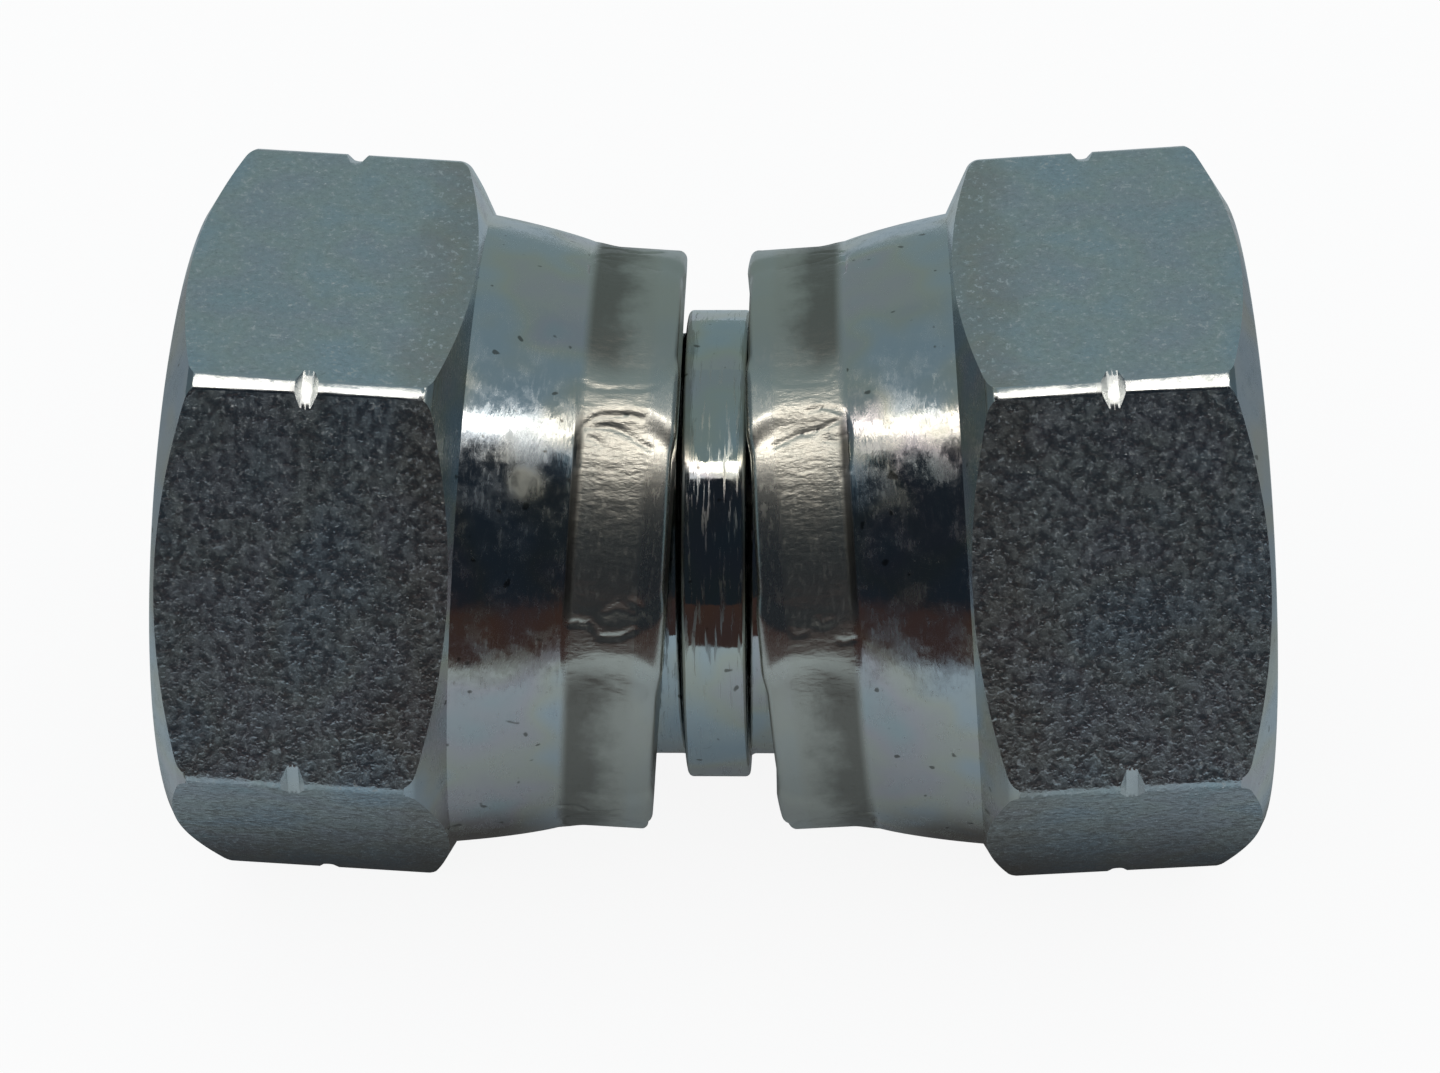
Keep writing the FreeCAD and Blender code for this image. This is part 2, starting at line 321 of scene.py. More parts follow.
# %% Sizes of a nut, in millimetres
ACROSS_FLATS = 27.0
NUT_LENGTH = 19.6
HEX_START = 8.15
FACE_RADIUS = 13.1
FACE_ANGLE = 30.0
BACK_ANGLE = 28.0
MARK_PLACE = NUT_LENGTH - 5.7
ROOT_RADIUS = 13.32
STEP_RADIUS = 12.5
RIDGE_RADIUS = 12.45
CRIMP_LENGTH = 3.6
PIVOT_FROM_LIP = 1.5

corner_radius = ACROSS_FLATS / 2 / math.cos(math.pi / 6)
print("across the sharp corners:", round(2 * corner_radius, 2), "mm")

# %% [markdown]
# ## The hexagon bar
#
# A six-sided cylinder is the right start, a millimetre too long at each end. Its long edges are bevelled flat, and
# the ends of each bevel are then drawn in towards the sharp corner. Four blunt corners taper towards the inner end,
# as on the real nut. The two others, one in front and one behind, stay much sharper along their whole length. A
# second, very small bevel rounds the two edges of each corner, because no plated edge is perfectly sharp.


# %% Selecting
def choose(piece):
    """Makes the piece the active one and the only one selected."""
    bpy.ops.object.select_all(action="DESELECT")
    piece.select_set(True)
    bpy.context.view_layer.objects.active = piece


def start_edit(piece, kind):
    """Deselects all of the piece's mesh and makes it ready to pick verts, edges or faces."""
    choose(piece)
    bpy.ops.object.mode_set(mode="EDIT")
    bpy.ops.mesh.select_mode(type=kind)
    bpy.ops.mesh.select_all(action="DESELECT")
    bpy.ops.object.mode_set(mode="OBJECT")


def pick(parts, test):
    """Selects the parts of a mesh that pass the test, then goes to edit mode. Returns how many there are."""
    chosen = [part for part in parts if test(part)]
    for part in chosen:
        part.select = True
    bpy.ops.object.mode_set(mode="EDIT")
    return len(chosen)


# %% The hexagon bar
SPARE = 1.0

bpy.ops.mesh.primitive_cylinder_add(
    vertices=6,
    radius=corner_radius * MM,
    depth=(NUT_LENGTH - HEX_START + 2 * SPARE) * MM,
    location=((HEX_START + NUT_LENGTH) / 2 * MM, 0.0, 0.0),
    rotation=(0.0, math.pi / 2, 0.0),
)
hexagon = bpy.context.object
hexagon.name = "hexagon_bar"
bpy.ops.object.transform_apply()
corner_turn = math.pi / 2 - math.atan2(hexagon.data.vertices[0].co.z, hexagon.data.vertices[0].co.y)
hexagon.data.transform(Matrix.Rotation(-corner_turn, 4, "X"))
hexagon.data.transform(Matrix.Rotation(math.pi / 2, 4, "X"))
print("bar across the corners:", round(2 * max(vertex.co.y for vertex in hexagon.data.vertices) / MM, 2), "mm")

# %% Blunt corners
BLUNT_AT_FACE = 0.37
TAPER = 0.55
SHARPER = 0.35
SOFT_EDGE = 0.07


def runs_along(edge):
    """True for an edge of the bar that goes from one end to the other."""
    start, end = (hexagon.data.vertices[index].co for index in edge.vertices)
    return abs(start.x - end.x) > 5 * MM


start_edit(hexagon, "EDGE")
pick(hexagon.data.edges, runs_along)
bpy.ops.mesh.bevel(offset=BLUNT_AT_FACE * MM, offset_type="OFFSET", segments=1, affect="EDGES")
bpy.ops.object.mode_set(mode="OBJECT")
inner_end = min(vertex.co.x for vertex in hexagon.data.vertices)
face_end = max(vertex.co.x for vertex in hexagon.data.vertices)
for count in range(6):
    angle = math.radians(60 * count)
    at_inner, at_face = (SHARPER, SHARPER) if count % 3 == 0 else (TAPER, 1.0)
    for end, share in ((inner_end, at_inner), (face_end, at_face)):
        corner = Vector((end, -corner_radius * MM * math.cos(angle), corner_radius * MM * math.sin(angle)))
        start_edit(hexagon, "VERT")
        pick(hexagon.data.vertices, lambda vertex: (vertex.co - corner).length < MM)
        bpy.ops.transform.resize(value=(share, share, share), center_override=corner)
        bpy.ops.object.mode_set(mode="OBJECT")
start_edit(hexagon, "EDGE")
found = pick(hexagon.data.edges, runs_along)
bpy.ops.mesh.bevel(offset=SOFT_EDGE * MM, offset_type="OFFSET", segments=2, affect="EDGES")
bpy.ops.object.mode_set(mode="OBJECT")
print("long edges rounded:", found, "faces:", len(hexagon.data.polygons))

# %% [markdown]
# ## Turned shapes
#
# Everything else on the fitting came off a lathe, and the spin tool is Blender's lathe. One vertex is extruded
# from point to point to draw half of the cross-section, and the spin turns that line once round the X axis. The
# points are pairs: how far along the axis, and how far out from it.


# %% A lathe
def lathe(name, outline, steps):
    """Turns an outline of (along, out) millimetres once round the X axis into a closed mesh.

    An outline that starts and ends on the axis stays open there. Any other is joined into a ring.
    """
    along, out = outline[0]
    piece = start_from_point(name, (along, 0.0, out))
    on_axis = out == 0.0 and outline[-1][1] == 0.0
    for next_along, next_out in outline[1:] if on_axis else [*outline[1:], outline[0]]:
        step = ((next_along - along) * MM, 0.0, (next_out - out) * MM)
        bpy.ops.mesh.extrude_region_move(TRANSFORM_OT_translate={"value": step})
        along, out = next_along, next_out
    bpy.ops.mesh.select_all(action="SELECT")
    bpy.ops.mesh.remove_doubles(threshold=1e-7)
    bpy.ops.mesh.spin(steps=steps, angle=2 * math.pi, center=(0.0, 0.0, 0.0), axis=(1.0, 0.0, 0.0))
    bpy.ops.mesh.select_all(action="SELECT")
    bpy.ops.mesh.remove_doubles(threshold=1e-7)
    bpy.ops.mesh.normals_make_consistent(inside=False)
    bpy.ops.object.mode_set(mode="OBJECT")
    return piece


def rounded(centre, radius, first, last, count):
    """Points along part of a circle in the outline, from one angle to another, in degrees from the X axis."""
    angles = [math.radians(first + (last - first) * step / count) for step in range(count + 1)]
    return [(centre[0] + radius * math.cos(angle), centre[1] + radius * math.sin(angle)) for angle in angles]


def combine(piece, tool, operation):
    """Cuts with the tool, joins it or keeps what both share, merges what falls together, and drops the tool."""
    choose(piece)
    change = piece.modifiers.new(operation.lower(), "BOOLEAN")
    change.operation = operation
    change.object = tool
    change.solver = "EXACT"
    bpy.ops.object.modifier_apply(modifier=change.name)
    bpy.ops.object.mode_set(mode="EDIT")
    bpy.ops.mesh.select_all(action="SELECT")
    bpy.ops.mesh.remove_doubles(threshold=0.002 * MM)
    bpy.ops.mesh.dissolve_degenerate(threshold=0.001 * MM)
    bpy.ops.object.mode_set(mode="OBJECT")
    bpy.data.objects.remove(tool)


# %% [markdown]
# ## Chamfers and corner marks
#
# A lathe also cut both ends of the hexagon to a cone, which leaves the curved lines on the flats, and the corners
# are worn round where they meet the cones. The shallow groove that nicks all six corners, with its slightly round
# bottom and steep sides, was cut in the same way. All of these cuts together are one turned envelope, and the
# hexagon keeps only what lies inside it.

# %% Chamfer the hexagon
BACK_OUT = 15.463
FACE_OUT = 15.445
WORN = 0.6
MARK_RIM = 15.455
MARK_HALF = 0.45
MARK_BOTTOM = 15.15
MARK_ROUND = 0.6
MARK_SWEEP = 21.0
HIDDEN_BY_SKIRT = 0.1

face_slope = math.tan(math.radians(FACE_ANGLE))
back_slope = math.tan(math.radians(BACK_ANGLE))
face_corner = NUT_LENGTH - (FACE_OUT - FACE_RADIUS) * face_slope
back_corner = HEX_START + (BACK_OUT - ROOT_RADIUS + HIDDEN_BY_SKIRT) * back_slope
face_round = face_corner - WORN * math.tan(math.radians((90.0 - FACE_ANGLE) / 2))
back_round = back_corner + WORN * math.tan(math.radians((90.0 - BACK_ANGLE) / 2))
envelope = lathe(
    "turned_envelope",
    [
        (HEX_START, 0.0),
        (HEX_START, ROOT_RADIUS - HIDDEN_BY_SKIRT),
        *rounded((back_round, BACK_OUT - WORN), WORN, 180 - BACK_ANGLE, 90, 8),
        (MARK_PLACE - MARK_HALF, MARK_RIM),
        *rounded((MARK_PLACE, MARK_BOTTOM + MARK_ROUND), MARK_ROUND, 270 - MARK_SWEEP, 270 + MARK_SWEEP, 8),
        (MARK_PLACE + MARK_HALF, MARK_RIM),
        *rounded((face_round, FACE_OUT - WORN), WORN, 90, FACE_ANGLE, 8),
        (NUT_LENGTH - 0.05, FACE_RADIUS + 0.08),
        (NUT_LENGTH, FACE_RADIUS - 0.05),
        (NUT_LENGTH, 0.0),
    ],
    360,
)
combine(hexagon, envelope, "INTERSECT")
print("hexagon after the cuts:", len(hexagon.data.polygons), "faces")

# %% [markdown]
# ## The skirt
#
# The skirt is a cone with a slight belly that ends in a short straight collar, where the dies pressed it. The
# collar needs a fine grid, about a tenth of a millimetre along and round, because the press marks are small. The
# cone starts with closer rings than it ends, because it turns off from the collar in a tight bend.

# %% Turn the skirt
SKIRT_STEPS = 720
LIP_ROUND = 0.42
LIP_INNER = 9.6
GRID_END = CRIMP_LENGTH + 0.3
SKIRT_END = HEX_START + 0.4
IN_HEXAGON = HEX_START + 4.0
SKIRT_TOP = ROOT_RADIUS + 0.03

skirt_outline = [(0.0, 0.0), (0.0, LIP_INNER)]
skirt_outline += [(0.0, LIP_INNER + (RIDGE_RADIUS - LIP_ROUND - LIP_INNER) * part / 4) for part in range(1, 4)]
skirt_outline += rounded((LIP_ROUND, RIDGE_RADIUS - LIP_ROUND), LIP_ROUND, 180, 90, 6)
skirt_outline += [(LIP_ROUND + (GRID_END - LIP_ROUND) * part / 34, RIDGE_RADIUS) for part in range(1, 35)]
for part in range(1, 21):
    share = part / 50 if part < 9 else 0.16 + 0.84 * (part - 8) / 12
    belly = 0.06 * math.sin(math.pi * share) - 0.05 * (1.0 - share) ** 8
    skirt_outline.append(
        (GRID_END + (SKIRT_END - GRID_END) * share, STEP_RADIUS + (SKIRT_TOP - STEP_RADIUS) * share + belly)
    )
skirt_outline += [(IN_HEXAGON, SKIRT_TOP), (IN_HEXAGON, 0.0)]
skirt = lathe("skirt", skirt_outline, SKIRT_STEPS)
print("skirt grid:", len(skirt.data.polygons), "faces")

# %% [markdown]
# ## Press marks
#
# Eight dies closed in on the collar together. Each left a flat land with rounded corners, and the metal that had
# nowhere to go stands between them as eight low ridges. The lands are painted as a vertex group, as with a weight
# brush, and a Displace modifier presses exactly the painted part in.


# %% Paint and press the lands
LAND_MIDDLE = 1.45
LAND_HALF_LENGTH = 2.2
LAND_HALF_WIDTH = 4.25
LAND_CORNER = 1.2
NARROWS_BEFORE = 1.6
LAND_EDGE = (-0.9, 0.35)
PRESSED_IN = 0.15


def round_the_axis(place):
    """Angle of a point round the X axis: 0 is level on the -Y side, and 90 degrees is up."""
    return math.atan2(place.z, -place.y)


def past_land(along, angle):
    """How far in millimetres a point lies outside the nearest land's rounded outline. Negative is inside."""
    ridge_to_ridge = math.pi / 4
    off_middle = (angle + ridge_to_ridge / 2) % ridge_to_ridge - ridge_to_ridge / 2
    narrowed = 0.35 * max(0.0, NARROWS_BEFORE - along) ** 2
    across = abs(off_middle) * RIDGE_RADIUS - (LAND_HALF_WIDTH - LAND_CORNER - narrowed)
    lengthwise = along - LAND_MIDDLE - (LAND_HALF_LENGTH - LAND_CORNER)
    return math.hypot(max(across, 0.0), max(lengthwise, 0.0)) + min(max(across, lengthwise), 0.0) - LAND_CORNER


def smooth_step(value, start, end):
    """Rises smoothly from 0 at start to 1 at end."""
    share = min(1.0, max(0.0, (value - start) / (end - start)))
    return share * share * (3.0 - 2.0 * share)


def displace(piece, group_name, weights, distance):
    """Moves the painted vertices along their normals by this many millimetres at full weight."""
    group = piece.vertex_groups.new(name=group_name)
    group.add(range(len(piece.data.vertices)), 0.0, "REPLACE")
    for index, weight in weights.items():
        if weight > 0.0:
            group.add([index], weight, "REPLACE")
    choose(piece)
    change = piece.modifiers.new(group_name, "DISPLACE")
    change.vertex_group = group_name
    change.mid_level = 0.0
    change.strength = distance * MM
    bpy.ops.object.modifier_apply(modifier=change.name)


pressed = {}
for vertex in skirt.data.vertices:
    along = vertex.co.x / MM
    out = math.hypot(vertex.co.y, vertex.co.z) / MM
    if along < CRIMP_LENGTH + 0.2 and out > 10.5:
        pressed[vertex.index] = 1.0 - smooth_step(past_land(along, round_the_axis(vertex.co)), *LAND_EDGE)
displace(skirt, "pressed_lands", pressed, -PRESSED_IN)
print("vertices pressed in:", sum(weight > 0 for weight in pressed.values()))

# %% [markdown]
# ## Inside the nut
#
# From the lip inwards there is a plain bore, a wider chamber for the body's collar, the threaded wall and a
# chamfered mouth. They are one turned shape, cut away. The thread is a second cutter: a pipe thread's V, wound as
# a helix by a Screw modifier with a turn every 1.814 mm, which is 14 threads to the inch.

# %% Bore, chamber and mouth
LIP_BORE = 9.5
LIP_WALL = 3.0
CHAMBER = 11.3
THREAD_INNER = 9.3155
THREAD_OUTER = 10.4775
THREAD_START = 11.5
THREAD_END = 18.5
LIP_FLARE = 1.25
MOUTH = 11.15
MOUTH_START = 10.65
FACE_EDGE = 0.12

combine(hexagon, skirt, "UNION")
nut = hexagon
nut.name = "nut"
inside = lathe(
    "inside_of_nut",
    [
        (-SPARE, 0.0),
        (-SPARE, LIP_BORE + LIP_FLARE),
        (LIP_FLARE - SPARE, LIP_BORE),
        (LIP_WALL, LIP_BORE),
        (LIP_WALL + CHAMBER - LIP_BORE, CHAMBER),
        (THREAD_START - (CHAMBER - THREAD_INNER), CHAMBER),
        (THREAD_START, THREAD_INNER),
        (THREAD_END, THREAD_INNER),
        (NUT_LENGTH - FACE_EDGE, MOUTH_START),
        (NUT_LENGTH + FACE_EDGE, MOUTH),
        (NUT_LENGTH + SPARE, MOUTH),
        (NUT_LENGTH + SPARE, 0.0),
    ],
    187,
)
combine(nut, inside, "DIFFERENCE")
print("nut after the bore:", len(nut.data.polygons), "faces")

# %% The thread
PITCH = 25.4 / 14
WIND_START = 10.3
WIND_TURNS = 6
FLANK = math.tan(math.radians(27.5))
CREST_HALF = 0.15
CUTTER_ROOT = THREAD_INNER - 0.2

bpy.ops.object.select_all(action="DESELECT")
bpy.ops.mesh.primitive_plane_add(size=MM)
thread = bpy.context.object
thread.name = "thread_cutter"
root_half = CREST_HALF + (THREAD_OUTER - CUTTER_ROOT) * FLANK
corners = [
    (-root_half, CUTTER_ROOT), (root_half, CUTTER_ROOT), (-CREST_HALF, THREAD_OUTER), (CREST_HALF, THREAD_OUTER),
]
for vertex, (off_start, out) in zip(thread.data.vertices, corners):
    vertex.co = ((WIND_START + off_start) * MM, 0.0, out * MM)
wind = thread.modifiers.new("wind", "SCREW")
wind.axis = "X"
wind.angle = 2 * math.pi
wind.screw_offset = PITCH * MM
wind.iterations = WIND_TURNS
wind.steps = 72
wind.render_steps = 72
wind.use_merge_vertices = False
wind.use_normal_calculate = True
bpy.ops.object.modifier_apply(modifier=wind.name)
start_edit(thread, "EDGE")
bpy.ops.object.mode_set(mode="EDIT")
bpy.ops.mesh.select_non_manifold()
bpy.ops.mesh.fill_holes(sides=0)
bpy.ops.mesh.select_all(action="SELECT")
bpy.ops.mesh.normals_make_consistent(inside=False)
bpy.ops.object.mode_set(mode="OBJECT")
combine(nut, thread, "DIFFERENCE")
print("nut after the thread:", len(nut.data.polygons), "faces")

# %% [markdown]
# ## The body
#
# Between the two lips the body shows its raised band and a little of each neck. From the open ends one looks in on
# its sealing cones, with a bore of 12 mm through both. Half of the outline is written down and the other half is
# its mirror image. Every corner that a turning tool would round or break is rounded or broken here too.

# %% Turn the body
BORE = 6.0
BAND_HALF = 1.3
BAND_RADIUS = 9.93
NECK_RADIUS = 8.95
COLLAR_START = 8.0125
COLLAR_RADIUS = 10.3514
CONE_START = 9.8125
CONE_BASE = 8.75
CONE_END = 13.0168
CONE_TIP = 6.9
NOSE = 0.14
EDGE = 0.2
COLLAR_FILLET = 0.3
BAND_FILLET = 0.25

half_outline = [(12.72, BORE), (CONE_END, BORE + 0.3)]
half_outline += rounded((CONE_END - NOSE, CONE_TIP - 0.02), NOSE, 0, 60, 4)
half_outline += [(CONE_START + 0.25, CONE_BASE - 0.14), (CONE_START + 0.06, CONE_BASE), (CONE_START, CONE_BASE + 0.1)]
half_outline += rounded((CONE_START - EDGE, COLLAR_RADIUS - EDGE), EDGE, 0, 90, 3)
half_outline += rounded((COLLAR_START + EDGE, COLLAR_RADIUS - EDGE), EDGE, 90, 180, 3)
half_outline += rounded((COLLAR_START - COLLAR_FILLET, NECK_RADIUS + COLLAR_FILLET), COLLAR_FILLET, 360, 270, 4)
half_outline += rounded((BAND_HALF + BAND_FILLET, NECK_RADIUS + BAND_FILLET), BAND_FILLET, 270, 180, 4)
half_outline += rounded((BAND_HALF - EDGE, BAND_RADIUS - EDGE), EDGE, 0, 90, 4)
mirrored = [(-along, out) for along, out in reversed(half_outline)]

body = lathe("turned_body", half_outline + mirrored, 288)
body.location.z = body_height * MM
bpy.ops.object.transform_apply()
print("body:", len(body.data.polygons), "faces")

# %% [markdown]
# ## Creases at the ends of the lands
#
# The die edges also folded and smeared the soft zinc: thin creases near the upper end of each land and deeper
# folds near its lower end. Each line is written as a depth, a half width, the lands that have it, and its points
# in millimetres from the lip and degrees round the axis. The lines are painted and pressed on the fine grid as
# the lands were. Every land gets them a little shifted, so that no two are alike.

# %% The creases as lines
UPPER_ENDS = (0, 1, 2, 3, 4, 5, 6)
LOWER_ENDS = (0, 2, 3, 4, 5, 6, 7)
FRONT_LAND = (0,)
LAND_SHIFTS = [
    (0.0, 0.0), (0.12, 1.1), (-0.1, -1.4), (0.05, 0.7), (-0.15, 1.6), (0.1, -0.8), (-0.05, 1.9), (0.14, -1.7),
]

left_creases = [
    (-0.045, 0.16, UPPER_ENDS, [(3.72, 53.5), (3.8, 58.7), (3.57, 61.8), (3.02, 63.6), (1.9, 64.0), (1.4, 63.4)]),
    (-0.038, 0.16, UPPER_ENDS, [(3.5, 61.2), (2.53, 61.7), (1.74, 60.0), (1.0, 57.9)]),
    (-0.03, 0.18, UPPER_ENDS, [(3.42, 59.3), (3.11, 59.0), (2.9, 57.9)]),
    (-0.035, 0.16, UPPER_ENDS, [(3.77, 56.9), (3.73, 51.4), (3.68, 45.1)]),
    (-0.03, 0.2, FRONT_LAND, [(3.81, 69.9), (3.4, 68.8), (1.55, 69.2), (0.98, 70.1)]),
    (-0.02, 0.4, FRONT_LAND, [(3.54, 72.6), (2.77, 79.1), (1.7, 82.1)]),
    (-0.07, 0.22, LOWER_ENDS, [(3.55, 25.8), (3.17, 26.0), (2.9, 26.1), (2.49, 23.6), (1.72, 23.8), (1.2, 25.2)]),
    (-0.02, 0.25, FRONT_LAND, [(3.6, 16.8), (3.18, 16.2), (2.39, 14.8), (1.6, 13.0)]),
    (-0.05, 0.32, FRONT_LAND, [(2.3, 27.6), (1.9, 28.8), (1.6, 28.2)]),
    (-0.045, 0.26, FRONT_LAND, [(1.25, 27.6), (0.95, 28.9), (1.3, 30.3)]),
]
right_creases = [
    (-0.045, 0.16, UPPER_ENDS, [(3.86, 53.2), (3.94, 60.6), (3.74, 64.1), (3.09, 65.1), (2.44, 64.5)]),
    (-0.042, 0.16, UPPER_ENDS, [(3.57, 62.3), (2.86, 61.0), (2.09, 60.5), (1.11, 58.5)]),
    (-0.03, 0.18, UPPER_ENDS, [(3.85, 59.5), (3.45, 58.2), (3.08, 59.0)]),
    (-0.038, 0.16, UPPER_ENDS, [(3.86, 60.7), (3.88, 55.1), (3.65, 51.5)]),
    (-0.03, 0.2, FRONT_LAND, [(3.65, 72.5), (3.24, 70.1), (1.58, 70.3), (1.0, 72.2)]),
    (-0.05, 0.2, LOWER_ENDS, [(3.7, 22.9), (3.3, 22.5), (3.1, 22.9)]),
    (-0.05, 0.22, LOWER_ENDS, [(2.9, 26.6), (2.55, 25.9), (2.35, 26.8)]),
    (-0.04, 0.2, FRONT_LAND, [(1.9, 24.6), (1.45, 24.2), (1.3, 25.2)]),
    (-0.02, 0.25, FRONT_LAND, [(1.74, 18.4), (2.48, 17.0), (2.96, 15.6)]),
]


def near_line(along, angle, points):
    """Distance in millimetres, on the unrolled collar, from a place to a line of (along, degrees) points."""
    here = Vector((along, math.radians(angle) * RIDGE_RADIUS))
    flat = [Vector((point[0], math.radians(point[1]) * RIDGE_RADIUS)) for point in points]
    nearest = 99.0
    for first, second in zip(flat, flat[1:]):
        run = second - first
        share = min(1.0, max(0.0, (here - first).dot(run) / run.length_squared))
        nearest = min(nearest, (here - first - run * share).length)
    return nearest


# %% Two nuts from one
FIRST_LAND = 45.0
LAND_TO_LAND = 45.0
FADE_IN = (-0.05, 0.5)
FADE_OUT = (3.9, 4.4)
COLLAR_INNER = 11.7
COLLAR_END = CRIMP_LENGTH + 0.75


def own_copy(piece, name):
    """A copy with a mesh of its own."""
    choose(piece)
    bpy.ops.object.duplicate(linked=False)
    copied = bpy.context.object
    copied.name = name
    return copied


def crease(piece, lines, camera_side):
    """Presses in every line. Camera side is -1 where the piece's -Y side will face the camera."""
    collar = {}
    for vertex in piece.data.vertices:
        along = vertex.co.x / MM
        if -0.01 < along < COLLAR_END and math.hypot(vertex.co.y, vertex.co.z) / MM > COLLAR_INNER:
            collar[vertex.index] = (along, math.degrees(math.atan2(vertex.co.z, camera_side * vertex.co.y)))
    for number, (depth, half_width, lands, points) in enumerate(lines):
        weights = {}
        low = min(point[1] for point in points) - 3.0
        high = max(point[1] for point in points) + 3.0
        for index, (along, angle) in collar.items():
            for land in lands:
                slide, turned = LAND_SHIFTS[land]
                place = (angle - LAND_TO_LAND * land - turned - FIRST_LAND + 180.0) % 360.0 - 180.0 + FIRST_LAND
                if low < place < high:
                    weight = 1.0 - smooth_step(near_line(along - slide, place, points), 0.0, half_width)
                    weight *= smooth_step(along, *FADE_IN) * (1.0 - smooth_step(along, *FADE_OUT))
                    weights[index] = max(weights.get(index, 0.0), weight)
        displace(piece, f"crease_{number}", weights, depth)
    print(piece.name, "has", len(lines), "lines pressed into a grid of", len(collar), "vertices")


# %% [markdown]
# ## Finishes on a nut
#
# Five finishes meet on one nut: the blasted flats, the bright blunt corners, the turned cones, the pressed collar
# and the duller inside. Each face is given its finish by its place, by how level it lies with the axis and by how
# many degrees it looks away from the nearest corner. The two sharper corners were never rubbed bright, so they keep
# the finish of the flats, apart from their marks.


# %% Sort the faces of the nut
WALL_INSIDE = 11.5
MARK_FROM = 14.8
PRESSED_END = CRIMP_LENGTH + 0.4
LEVEL = 0.02
NEARLY_LEVEL = 0.12
ON_FLAT = 29.0
ON_CORNER = 24.0
FLATS, CORNERS, TURNED, PRESSED, INSIDE = range(5)
for finish_name in ("flats", "corners", "turned", "pressed", "inside"):
    nut.data.materials.append(bpy.data.materials.new(finish_name))

counts = [0] * 5
for face in nut.data.polygons:
    along = face.center.x / MM
    radial = Vector((0.0, face.center.y, face.center.z))
    out = radial.length / MM
    looks_out = face.normal.dot(radial.normalized())
    sixth = math.atan2(face.normal.z, -face.normal.y) / (math.pi / 3)
    off_corner = abs(sixth - round(sixth)) * 60
    if out < WALL_INSIDE and (looks_out < -0.05 or 0.3 < along < NUT_LENGTH - 0.2):
        face.material_index = INSIDE
    elif along < PRESSED_END:
        face.material_index = PRESSED
    elif along > HEX_START and abs(face.normal.x) < LEVEL and off_corner > ON_FLAT:
        face.material_index = FLATS
    elif out > MARK_FROM and abs(along - MARK_PLACE) < MARK_HALF + 0.05:
        face.material_index = CORNERS
    elif along > HEX_START and abs(face.normal.x) < NEARLY_LEVEL and off_corner < ON_CORNER:
        face.material_index = FLATS if round(sixth) % 3 == 0 else CORNERS
    else:
        face.material_index = TURNED
    counts[face.material_index] += 1
print("faces of each finish:", counts)

# %% [markdown]
# ## Shading
#
# Faces that meet at less than 30 degrees are shaded as one smooth surface. A Weighted Normal modifier then keeps
# the large flats flat right up to their soft edges, so that they reflect like flats.


# %% Smooth shading
SMOOTH_UNDER = math.radians(30)


def smooth(piece):
    """Smooth by angle, with the normals weighted by face size."""
    choose(piece)
    bpy.ops.object.shade_smooth_by_angle(angle=SMOOTH_UNDER)
    weigh = piece.modifiers.new("weigh_normals", "WEIGHTED_NORMAL")
    weigh.keep_sharp = True
    bpy.ops.object.modifier_apply(modifier=weigh.name)


right_nut = own_copy(nut, "right_swivel_nut")
crease(right_nut, right_creases, -1)
left_nut = own_copy(nut, "left_swivel_nut")
crease(left_nut, left_creases, 1)
bpy.data.objects.remove(nut)

# %% [markdown]
# ## Both nuts in their places
#
# A nut's place comes from the joint it turns about: the lip lies 1.5 mm back along the axis from the joint, and
# the axis leans up by a few degrees because the nut hangs loose on the body and rests on its own flats. The left
# nut is turned half round. The place goes into the mesh, so the object itself stays at the origin.

# %% Place the nuts
lip_places = {}
nut_turns = {}
for piece, joint_name, half_turn in ((left_nut, "left_nut_swivel", math.pi), (right_nut, "right_nut_swivel", 0.0)):
    joint = next(entry for entry in frame["joints"] if entry["name"] == joint_name)
    axis = Vector(joint["axis"])
    lip_place = Vector(joint["pos_m"]) - axis * PIVOT_FROM_LIP * MM
    nut_turn = (0.0, -math.asin(axis.z), half_turn)
    lip_places[joint["child"]], nut_turns[joint["child"]] = lip_place, nut_turn
    piece.location, piece.rotation_euler = lip_place, nut_turn
    choose(piece)
    bpy.ops.object.transform_apply()
    smooth(piece)
    print(piece.name, "lip at", [round(value / MM, 3) for value in lip_place], "mm")
smooth(body)

# %% [markdown]
# ## Where a pattern sits
#
# Each piece carries its own measure: millimetres along its axis from the lip, and across it. A Mapping node turns
# object coordinates into that measure, so the scale of a noise is one over the width of its spots in millimetres:
# a width of 1 / 2.7 is 0.37 mm, or 2.7 spots to the millimetre.
#
# Tool lines follow the way the tool was fed, which is along the axis on a cylinder and outwards on a face. The sum
# of the two is used, and the noise that draws the lines is stretched far round the axis.


# %% A piece's own millimetres
def plated(name, place, turned):
    """An empty material, and the place on the piece in millimetres along its own axis."""
    material, tree = empty_material(name)
    seen = add(tree, "ShaderNodeTexCoord").outputs["Object"]
    own = add(
        tree, "ShaderNodeMapping",
        {"Vector": seen, "Location": place, "Rotation": turned, "Scale": (MM, MM, MM)}, vector_type="TEXTURE",
    )
    return material, tree, own


def tool_feed(tree, own, rest):
    """Along the axis plus out from it. A larger rest of the place itself makes the tool lines shorter."""
    parts = add(tree, "ShaderNodeSeparateXYZ", {0: own}).outputs
    across = add(tree, "ShaderNodeCombineXYZ", {"Y": parts["Y"], "Z": parts["Z"]})
    out = add(tree, "ShaderNodeVectorMath", {0: across}, operation="LENGTH")
    feed = add(tree, "ShaderNodeMath", {0: parts["X"], 1: out}, operation="ADD")
    stretched = add(tree, "ShaderNodeVectorMath", {0: across, "Scale": rest}, operation="SCALE")
    line_up = add(tree, "ShaderNodeCombineXYZ", {"X": feed})
    return add(tree, "ShaderNodeVectorMath", {0: stretched, 1: line_up}, operation="ADD")


